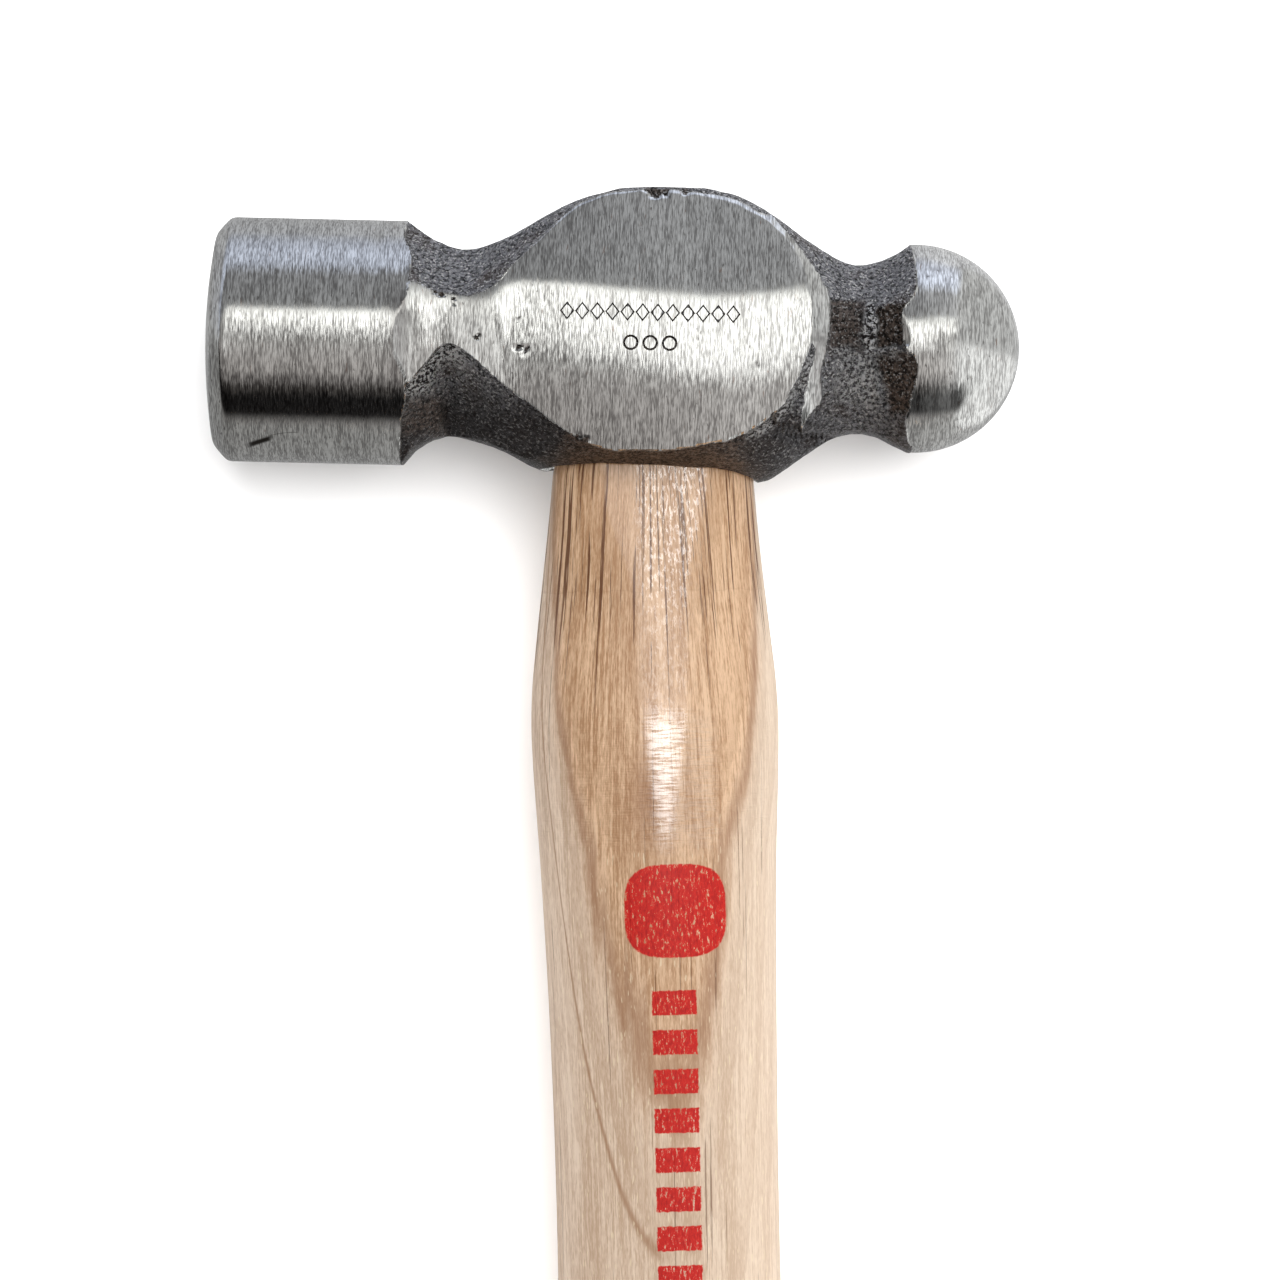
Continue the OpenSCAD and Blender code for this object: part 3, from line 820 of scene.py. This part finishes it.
def steel_material():
    material, g = new_material("ground_and_forged_steel")
    place = g.place()
    x, y, z = g.split(place)
    margin, flake, scale_and_shade = (g.attribute(name) for name in ("edge", "flake", "scale_and_shade"))
    jitter = g.minus(g.noise(place, scale=4.5), 0.5)
    ground = g.remap(g.times_plus(jitter, 0.35, margin), -0.03, 0.05)

    # brush lines run round the head: fine across x, long in y and z
    fine = g.noise(g.stretch(place, 6.5, 0.4, 0.4), roughness=0.7)
    finer = g.noise(g.stretch(place, 11.0, 1.3, 1.3), detail=1.0)
    broad = g.noise(g.stretch(place, 1.1, 0.12, 0.12))
    lines = g.times_plus(finer, 0.45, g.times(fine, 0.55))
    bright = g.times_plus(g.minus(broad, 0.5), 0.7, g.remap(lines, 0.41, 0.59))
    ground_colour = g.mix(bright, (0.365, 0.362, 0.352, 1), (0.97, 0.98, 0.955, 1))
    nick = g.remap(g.noise(g.stretch(place, 5.0, 1.6, 1.6), detail=1.0), 0.7, 0.76)
    ground_colour = g.mix(g.times(nick, 0.75), ground_colour, (0.16, 0.15, 0.145, 1))
    rust = g.noise(g.stretch(place, 3.0, 0.5, 0.5), detail=3.0, roughness=0.7)
    ground_colour = g.mix(g.remap(rust, 0.66, 0.74, 0.0, 0.6), ground_colour, (0.3, 0.15, 0.09, 1))
    # a dent low on the poll, with a scratch running on from it
    slope = g.times_plus(x, -0.32, y)
    dent = g.times(g.band(x, -39.6, -37.3, 0.4), g.band(slope, 1.72, 2.16, 0.12))
    bow = g.times_plus(g.math("POWER", g.plus(x, 34.6), 2.0), 0.045, y)
    scratch = g.times(g.band(x, -38, -34.6, 0.3), g.band(bow, -9.46, -9.4, 0.05), 0.7)
    dent = g.larger(dent, scratch)
    ground_colour = g.mix(g.times(dent, g.remap(z, 0, 1)), ground_colour, (0.03, 0.025, 0.02, 1))

    # the grinding thins out where the strip meets the poll, and past the cheek's ball end
    worn = g.times(g.band(x, -25.5, -23.9, 0.3), g.band(y, -3.6, 4.6, 1.2), g.remap(z, 5, 7), 0.5)
    worn = g.larger(worn, g.times(g.band(x, 15.9, 18.4, 0.5), g.band(y, -9, 1.5, 0.8), 0.55))
    ground_colour = g.mix(worn, ground_colour, (0.2, 0.185, 0.18, 1))

    # forged scale: dark, with small bright grains, and painted shade towards the bottom of the head
    grain = g.noise(place, scale=2.4, detail=4.0, roughness=0.8)
    speck = g.noise(place, scale=3.6, roughness=0.65)
    patch = g.noise(place, scale=0.25)
    forged_colour = g.mix(g.remap(grain, 0.41, 0.6), grey(0.02), (0.52, 0.52, 0.55, 1))
    forged_colour = g.mix(g.remap(patch, 0.5, 0.7, 0.0, 0.5), forged_colour, (0.1, 0.062, 0.04, 1))
    crumb = g.remap(g.noise(place, scale=2.7, detail=3.0, roughness=0.75), 0.47, 0.54)
    torn = g.mix(crumb, (0.025, 0.021, 0.019, 1), grey(1.0))
    dark = g.mix(g.remap(grain, 0.43, 0.6), (0.012, 0.009, 0.007, 1), (0.24, 0.19, 0.16, 1))
    # painted shade: the forged skin darkens towards the bottom of the head, less so at the ball end, and its
    # bright grains thin out there too
    below = g.times(g.remap(y, -3.0, -7.5, 0.0, 0.8), g.remap(x, 12, 20, 1.0, 0.45))
    forged_colour = g.mix(below, forged_colour, (0.022, 0.017, 0.015, 1))
    # dark scale in the hollows and pits, and painted shade along the underside of the cheek
    forged_colour = g.mix(scale_and_shade, forged_colour, dark)
    bright_grain = g.times(g.remap(speck, 0.58, 0.63), g.blend(scale_and_shade, 1.0, 0.6),
                           g.remap(y, -3.0, -7.5, 1.0, 0.35))
    forged_colour = g.mix(bright_grain, forged_colour, grey(0.9, 0.01))
    forged_colour = g.mix(g.times(flake, g.minus(1.0, scale_and_shade)), forged_colour, torn)

    colour = g.mix(ground, forged_colour, ground_colour)
    rough = g.blend(ground, g.blend(flake, 0.5, 0.3), g.remap(finer, 0.3, 0.7, 0.1, 0.18))
    height = g.blend(ground, g.times_plus(crumb, g.times(flake, 0.22), g.times(grain, 0.3)),
                     g.times(lines, 0.008))
    bump = g.add("ShaderNodeBump", Strength=1.0, Distance=MM, Height=height)
    # each brush line leans a little differently, so reflections end in ragged edges
    tilt = g.times(g.minus(lines, 0.5), ground, 0.24)
    bump = g.vector("ADD", i0=bump, i1=g.join(0.0, tilt, 0.0))
    g.surface(g.add("ShaderNodeBsdfPrincipled", Base_Color=colour, Roughness=rough, Normal=bump,
                    Metallic=g.blend(ground, 0.85, 1.0), Anisotropic=0.75, Tangent=g.join(1.0, 0.0, 0.0)))
    return material


def wood_material(name, tint):
    """Hickory with its print and lacquer; tint is the share of a plain brown mixed in."""
    material, g = new_material(name)
    place = g.place()
    x, y, z = g.split(place)
    front = g.remap(z, 0.5, 2.0)
    # grain follows the skin of the stick, and shows end on where the wood is cut across
    outward = g.vector("NORMALIZE", i0=g.join(x, 0.0, z))
    along = g.vector("MULTIPLY_ADD", i0=outward, i1=(9.5, 0, 9.5), i2=g.join(0.0, y, 0.0))
    cut_end = g.larger(g.remap(y, 11.0, 11.2), g.remap(y, 0.2 - BUTT, 0.5 - BUTT, 1, 0))
    skin = g.mix(cut_end, along, place)
    wander = g.minus(g.noise(g.stretch(place, 0.1, 0.015, 0.1)), 0.5)
    ripple = g.minus(g.noise(g.stretch(skin, 1.2, 0.1, 1.2), detail=3.0), 0.5)
    fibre = g.noise(g.stretch(skin, 5.0, 0.12, 5.0), detail=3.0, roughness=0.7)
    hair = g.noise(g.stretch(skin, 7.0, 0.9, 7.0), roughness=0.7)
    broad = g.noise(g.stretch(skin, 0.5, 0.03, 0.5))
    tone = g.times_plus(broad, 0.25, g.times(fibre, 0.5))
    tone = g.remap(g.times_plus(hair, 0.35, tone), 0.47, 0.62)

    # the growth rings lie nearly level and run out through the front in one long tongue
    slope = g.times_plus(g.smaller(g.plus(y, 50.0), 0.0), 0.055, g.times(g.larger(y, -50.0), 0.18))
    ring = g.plus(g.plus(z, slope), g.times_plus(wander, 1.6, g.times(ripple, 1.1)))
    inner = g.times(g.remap(ring, -2.0, 0.1, smooth=True), front)
    outer_wood = g.mix(tone, (0.57, 0.4, 0.275, 1), (0.82, 0.65, 0.5, 1))
    # painted sheen: the outer wood turns paler and creamier towards the ball side, where the light and its
    # reflection in the lacquer fall
    outer_wood = g.mix(g.remap(x, 2.0, 9.0, 0.0, 0.35), outer_wood, (0.8, 0.645, 0.49, 1))
    inner_wood = g.mix(tone, (0.44, 0.24, 0.12, 1), (0.81, 0.55, 0.35, 1))
    colour = g.mix(inner, outer_wood, inner_wood)
    late = g.remap(g.math("FRACT", g.times(ring, 0.42)), 0.0, 0.5, 1, 0)
    colour = g.mix(g.times(late, g.remap(fibre, 0.4, 0.6, 0.06, 0.32)), colour, (0.36, 0.19, 0.09, 1))
    streak = g.remap(fibre, 0.4, 0.6, 0.3, 0.85)
    colour = g.mix(g.times(g.band(ring, -1.15, -0.55, 0.3), front, streak), colour, (0.32, 0.15, 0.07, 1))
    thin = g.times_plus(wander, 0.5, g.times_plus(y, 0.097, z))
    thin = g.times(g.band(thin, 0.03, 0.2, 0.08), g.remap(x, 0.0, -1.5), front, 0.7)
    colour = g.mix(thin, colour, (0.34, 0.17, 0.08, 1))
    # a brown patch above the badge, and the tidemark of the lacquer below the head
    from_patch = g.join(g.times(g.plus(x, 0.7), 0.42), g.times(g.plus(y, 45.0), 0.22), 0.0)
    reach = g.vector("LENGTH", outlet=1, i0=from_patch)
    patch = g.times(g.remap(reach, 0.3, 1.5, 1, 0), front, streak)
    colour = g.mix(patch, colour, (0.29, 0.12, 0.045, 1))
    tide = g.plus(y, g.times(g.minus(g.noise(place, scale=0.8), 0.5), 0.8))
    colour = g.mix(g.times(g.remap(tide, -24.3, -24.1), front, 0.1), colour, (0.45, 0.24, 0.11, 1))
    colour = g.mix(g.times(g.band(tide, -24.32, -24.18, 0.05), front, 0.15), colour, (0.3, 0.15, 0.07, 1))

    # pores: thin dark lines along the grain, thickest near the head
    near_head = g.remap(g.times_plus(ripple, 14.0, y), -34, -24)
    line = g.noise(g.stretch(skin, 4.4, 0.028, 4.4), detail=1.0)
    dash = g.remap(g.noise(g.stretch(skin, 3.0, 0.15, 3.0), detail=1.0), 0.38, 0.48)
    pore = g.times(g.remap(line, g.blend(near_head, 0.7, 0.575), g.blend(near_head, 0.73, 0.605)), dash,
                   g.blend(near_head, 0.65, 1.0))
    colour = g.mix(g.times(pore, 0.92), colour, (0.13, 0.045, 0.012, 1))
    fleck = g.noise(g.stretch(skin, 5.0, 0.7, 5.0), detail=1.0)
    fleck = g.times(g.remap(fleck, 0.67, 0.72), g.remap(y, -44, -50), 0.6)
    colour = g.mix(fleck, colour, (0.86, 0.72, 0.5, 1))

    # the printed badge and the column of plain bars below it
    def centred(value, middle):
        return g.math("ABSOLUTE", g.minus(value, middle))

    wobble = g.minus(g.noise(place, scale=2.5, detail=3.0), 0.5)
    badge = g.plus(g.math("POWER", g.times(centred(x, BADGE_X), 1 / BADGE_HALF_WIDTH), BADGE_POWER),
                   g.math("POWER", g.times(centred(y, BADGE_Y), 1 / BADGE_HALF_HEIGHT), BADGE_POWER))
    badge = g.remap(g.times_plus(wobble, 0.16, badge), 0.96, 1.04, 1, 0)
    column = g.remap(g.times_plus(wobble, 0.3, centred(x, BARS_X)), BARS_HALF_WIDTH - 0.05,
                     BARS_HALF_WIDTH + 0.05, 1, 0)
    beat = centred(g.math("FRACT", g.times(g.minus(BARS_TOP, y), 1 / BARS_PITCH)), 0.5)
    beat = g.remap(g.times_plus(wobble, 0.08, beat), 0.3, 0.33, 1, 0)
    bars = g.times(column, beat, g.band(y, BARS_END, BARS_TOP, 0.01))
    wear = g.noise(g.stretch(skin, 4.0, 1.2, 4.0), detail=4.0, roughness=0.75)
    ink = g.times(g.larger(badge, bars), front, g.remap(wear, 0.385, 0.42, 0.12, 1.0))
    red = g.mix(g.remap(wear, 0.44, 0.66), (0.64, 0.014, 0.006, 1), (0.4, 0.001, 0.001, 1))
    colour = g.mix(ink, colour, red)
    colour = g.mix(tint, colour, (0.42, 0.22, 0.1, 1))

    # lacquer: rippled across the swell, flecked along the grain nearer the head
    swell = g.band(y, -50, -36, 2.5)
    lap = g.noise(g.stretch(skin, 0.6, 5.5, 0.6), detail=3.0, roughness=0.6)
    flecked = g.noise(g.stretch(skin, 3.2, 1.3, 3.2), detail=3.0, roughness=0.65)
    gloss = g.blend(swell, g.remap(flecked, 0.5, 0.6), g.remap(lap, 0.42, 0.55, 0.15, 1.0))
    fading = g.larger(g.remap(y, -28, -22, 0.22, 0.55), swell)
    gloss = g.times(gloss, fading, g.band(x, -1.6, 5.4, 1.0), g.remap(y, -56, -50))
    lacquer = g.times(g.times_plus(gloss, 0.85, 0.1), g.blend(ink, 1.0, 0.2))
    lap = g.times(lap, swell, 0.085)
    lap = g.plus(lap, g.times(flecked, g.remap(y, -52, -44), 0.08))
    height = g.plus(g.times(pore, -0.05), g.plus(lap, g.times(hair, 0.018)))
    bump = g.add("ShaderNodeBump", Strength=1.0, Distance=MM, Height=height)
    g.surface(g.add("ShaderNodeBsdfPrincipled", Base_Color=colour, Roughness=0.5, Normal=bump,
                    Specular_IOR_Level=0.3, Coat_Weight=lacquer, Coat_Roughness=0.12, Coat_IOR=2.2))
    return material


steel = steel_material()
wood = wood_material("lacquered_hickory", 0.0)
wedge_wood = wood_material("wedge_hardwood", 0.5)
wedges = {name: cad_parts[name] for name in ("wood_wedge", "steel_wedge_face", "steel_wedge_ball")}
coats = [(head, steel), (handle, wood)]
coats += [(node, wedge_wood if name == "wood_wedge" else steel) for name, node in wedges.items()]
for obj, material in coats:
    obj.data.materials.clear()
    obj.data.materials.append(material)

# ---------------- floor, light and camera
bpy.ops.mesh.primitive_plane_add(size=6, location=(0, 0, 0))
floor = bpy.context.object
floor.name = "floor"
material, g = new_material("floor_white")
g.surface(g.add("ShaderNodeBsdfPrincipled", Base_Color=grey(0.86), Roughness=0.9, Specular_IOR_Level=0.1))
floor.data.materials.append(material)
floor.visible_glossy = False

# The studio seen in the steel, by the angle, in degrees, that a mirrored ray leans up the handle
# from straight up; dx, dy and dz are the ray's direction
world = bpy.data.worlds.new("studio")
bpy.context.scene.world = world
world.use_nodes = True
g = Graph(world.node_tree)
dx, dy, dz = g.split(g.add("ShaderNodeTexCoord"))
lean = g.times(g.math("ARCTAN2", dy, dz), 180 / math.pi)
ramp = g.tree.nodes.new("ShaderNodeValToRGB")
g.put(ramp.inputs[0], g.times_plus(lean, 1 / 360, 0.5))
# the walls' colour at each angle
WALLS = [
    (-180, 0.35, 0.35, 0.35), (-92, 0.3, 0.295, 0.29), (-86, 0.24, 0.23, 0.225),
    (-76, 0.008, 0.007, 0.007), (-57, 0.008, 0.007, 0.007), (-47, 0.055, 0.049, 0.046),
    (-38, 0.23, 0.213, 0.208), (-30, 0.39, 0.366, 0.355), (-20, 0.43, 0.405, 0.395),
    (-8, 0.46, 0.44, 0.43), (0, 0.36, 0.35, 0.34), (28, 0.36, 0.35, 0.34), (28.1, 0.26, 0.262, 0.268),
    (64, 0.26, 0.262, 0.275), (76, 0.56, 0.6, 0.71), (90, 0.62, 0.665, 0.79), (103, 0.5, 0.53, 0.62),
    (120, 0.46, 0.465, 0.49), (180, 0.42, 0.42, 0.42)
]
while len(ramp.color_ramp.elements) < len(WALLS):
    ramp.color_ramp.elements.new(0.5)
for element, (degrees, *rgb) in zip(ramp.color_ramp.elements, WALLS):
    element.position = degrees / 360 + 0.5
    element.color = (*rgb, 1)
# the walls are brighter towards the ball end, and dimmer again below the lamp at both ends
shade = g.times(g.remap(dx, -0.065, 0.05, 0.93, 1.3), g.remap(dx, 0.05, 0.15, 1.0, 1.25),
                g.larger(g.remap(dx, -0.07, -0.045, 0.82, 1.0), g.remap(lean, 5, 20)),
                g.larger(g.remap(dx, 0.0, 0.04, 1.0, 0.8), g.remap(lean, -14, -4)))
walls = g.mix(shade, grey(0), ramp.outputs[0])
walls.node.clamp_factor = False
walls = g.mix(g.remap(dx, 0.05, 0.17, 0.0, 0.21), walls, grey(0.6))
# a long white lamp whose lower edge slants down towards the ball end
lower = g.times_plus(g.smaller(g.plus(dx, 0.03), 0.0), -210, g.times_plus(dx, -78, 2.3))
lower = g.larger(lower, g.remap(dx, 0.11, 0.22, -12, 17))
lower = g.smaller(lower, g.remap(dx, -0.26, -0.12, -16, 18))
above = g.remap(g.minus(lean, lower), -5, 5, smooth=True)
upper = g.remap(dx, 0.02, 0.2, 28, 35)
lamp = g.times(above, g.remap(g.minus(lean, upper), -2.5, 2.5, 1, 0, smooth=True),
               g.remap(dx, -0.65, -0.5), g.remap(dx, -0.26, -0.14, 0.5, 1.0),
               g.remap(g.math("ABSOLUTE", dx), 0.0, 0.04, 1.0, 0.84))
glow = g.mix(g.remap(lean, 4, 15), grey(1.5, 0.01), (1.8, 1.79, 1.75, 1))
glow = g.mix(g.remap(lean, 18, 31), glow, (1.25, 1.25, 1.22, 1))
room = g.mix(lamp, walls, glow)
# rays that turn far towards the ball end meet a plainer wall
side = g.mix(g.remap(lean, 3, 10), grey(0.95), grey(0.58))
side = g.mix(g.times(g.band(lean, -84, -50, 6), g.remap(dx, 0.6, 0.95, 1, 0)), side, grey(0.1))
room = g.mix(g.remap(dx, 0.3, 0.5, smooth=True), room, side)
back = g.add("ShaderNodeBackground", Color=room)
g.put(g.tree.nodes.new("ShaderNodeOutputWorld").inputs[0], back)


def sun(name, strength, direction, spread, receivers, shadows=True):
    """A sun that lights only the things it is given; spread is its width in degrees."""
    light = bpy.data.lights.new(name, "SUN")
    light.energy = strength
    light.angle = math.radians(spread)
    light.use_shadow = shadows
    lamp = bpy.data.objects.new(name, light)
    bpy.context.scene.collection.objects.link(lamp)
    lamp.rotation_euler = Vector(direction).to_track_quat("Z", "Y").to_euler()
    lit = bpy.data.collections.new("lit_by_" + name)
    bpy.context.scene.collection.children.link(lit)
    for obj in receivers:
        lit.objects.link(obj)
    lamp.light_linking.receiver_collection = lit


sun("wood_key", strength=1.58, direction=(0.1, 0.42, 1), spread=38,
    receivers=[handle] + list(wedges.values()))
sun("floor_key", strength=5.4, direction=(0.28, 0.42, 1), spread=60, receivers=[floor])
sun("floor_fill", strength=0.8, direction=(0, 0, 1), spread=20, receivers=[floor], shadows=False)

# the camera looks straight down, turned a little about its own axis
ROLL = math.radians(1.3)
DISTANCE = 575
FIELD = 128  # width of the view at the head, in millimetres
AIM_X, AIM_Y = -1.1, -29.13  # middle of the view from the middle of the eye
SENSOR = 36
right = Vector((math.cos(ROLL), math.sin(ROLL), 0))
up = Vector((-math.sin(ROLL), math.cos(ROLL), 0))
camera = bpy.data.objects.new("camera", bpy.data.cameras.new("camera"))
bpy.context.scene.collection.objects.link(camera)
camera.data.sensor_width = SENSOR
camera.data.lens = SENSOR * DISTANCE / FIELD
camera.data.clip_start = 0.01
camera.location = EYE + (right * AIM_X + up * AIM_Y + Vector((0, 0, DISTANCE))) * MM
camera.rotation_euler = (0, 0, ROLL)
bpy.context.scene.camera = camera
bpy.context.scene.view_settings.view_transform = "Standard"
